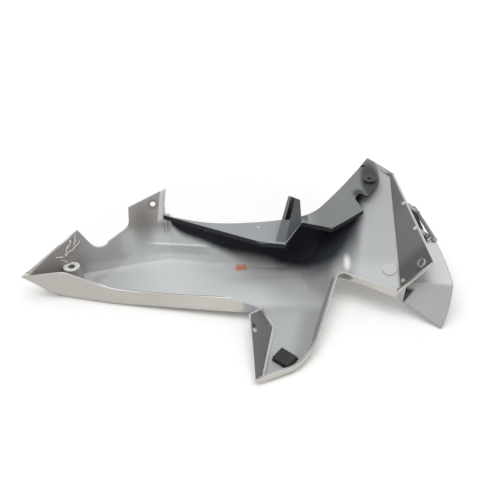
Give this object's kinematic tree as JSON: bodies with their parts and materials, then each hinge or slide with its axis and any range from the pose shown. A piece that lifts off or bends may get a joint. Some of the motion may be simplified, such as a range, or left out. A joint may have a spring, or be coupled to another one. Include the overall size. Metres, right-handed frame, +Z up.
{
  "type": "motorcycle side fairing panel",
  "caption": "Moulded side fairing panel of a motorcycle, inside up: a freeform silver shell with a fixing tab, a dark inner trim with a fin, and a pale nose cowl.",
  "frame": {"origin": "middle of the part's underside, on the surface that it lies on", "axes": "+X along the panel from its tail to its nose, +Y across it towards the inner trim, +Z up, out of the panel's inside"},
  "size_m": [0.585, 0.3828, 0.1223],
  "materials": {
    "panel_paint": "satin silver paint on moulded plastic, scuffed",
    "trim_plastic": "matte grained dark grey",
    "cowl_plastic": "satin pale grey",
    "screw_steel": "zinc plated",
    "mesh_foam": "open-cell foam",
    "pad_foam": "closed-cell foam"
  },
  "bodies": {
    "root": {"outer_panel": "panel_paint", "inner_trim": "trim_plastic", "nose_cowl": "cowl_plastic", "cowl_screws": "screw_steel", "cowl_foam": "mesh_foam", "foam_pad": "pad_foam"}
  },
  "joints": []
}
